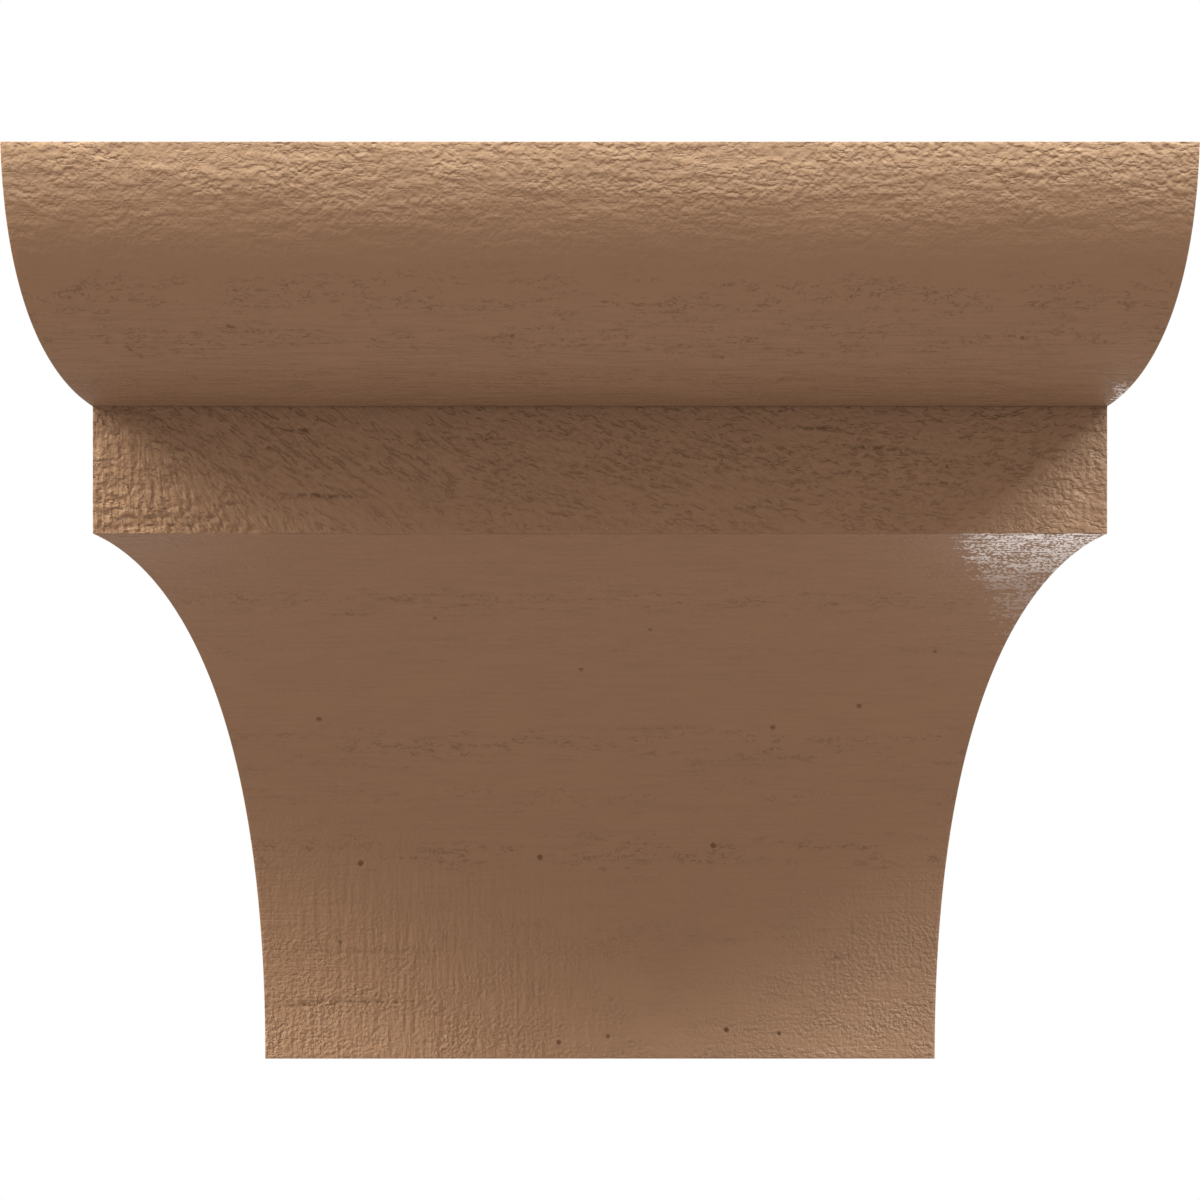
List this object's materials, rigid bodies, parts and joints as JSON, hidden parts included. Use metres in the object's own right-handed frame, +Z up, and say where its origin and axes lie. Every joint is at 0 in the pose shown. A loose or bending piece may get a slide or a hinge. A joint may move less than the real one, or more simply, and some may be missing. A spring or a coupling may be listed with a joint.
{
  "type": "corbel",
  "caption": "Three-sided moulded corbel with an ovolo head, a plain band and a deep cove down to a flat foot, in a rough-sawn timber texture under an opaque coat.",
  "frame": {"origin": "centre of the flat back face, at half the height, where the corbel meets the wall", "axes": "+X across the width, +Y into the wall, +Z up; the moulded front faces -Y"},
  "size_m": [0.2, 0.15, 0.1538],
  "materials": {
    "coated_block": "moulded rough-sawn timber texture with torn grain, saw lines and pinholes, under an opaque tan-brown satin coat"
  },
  "bodies": {
    "root": {"corbel": "coated_block"}
  },
  "joints": []
}
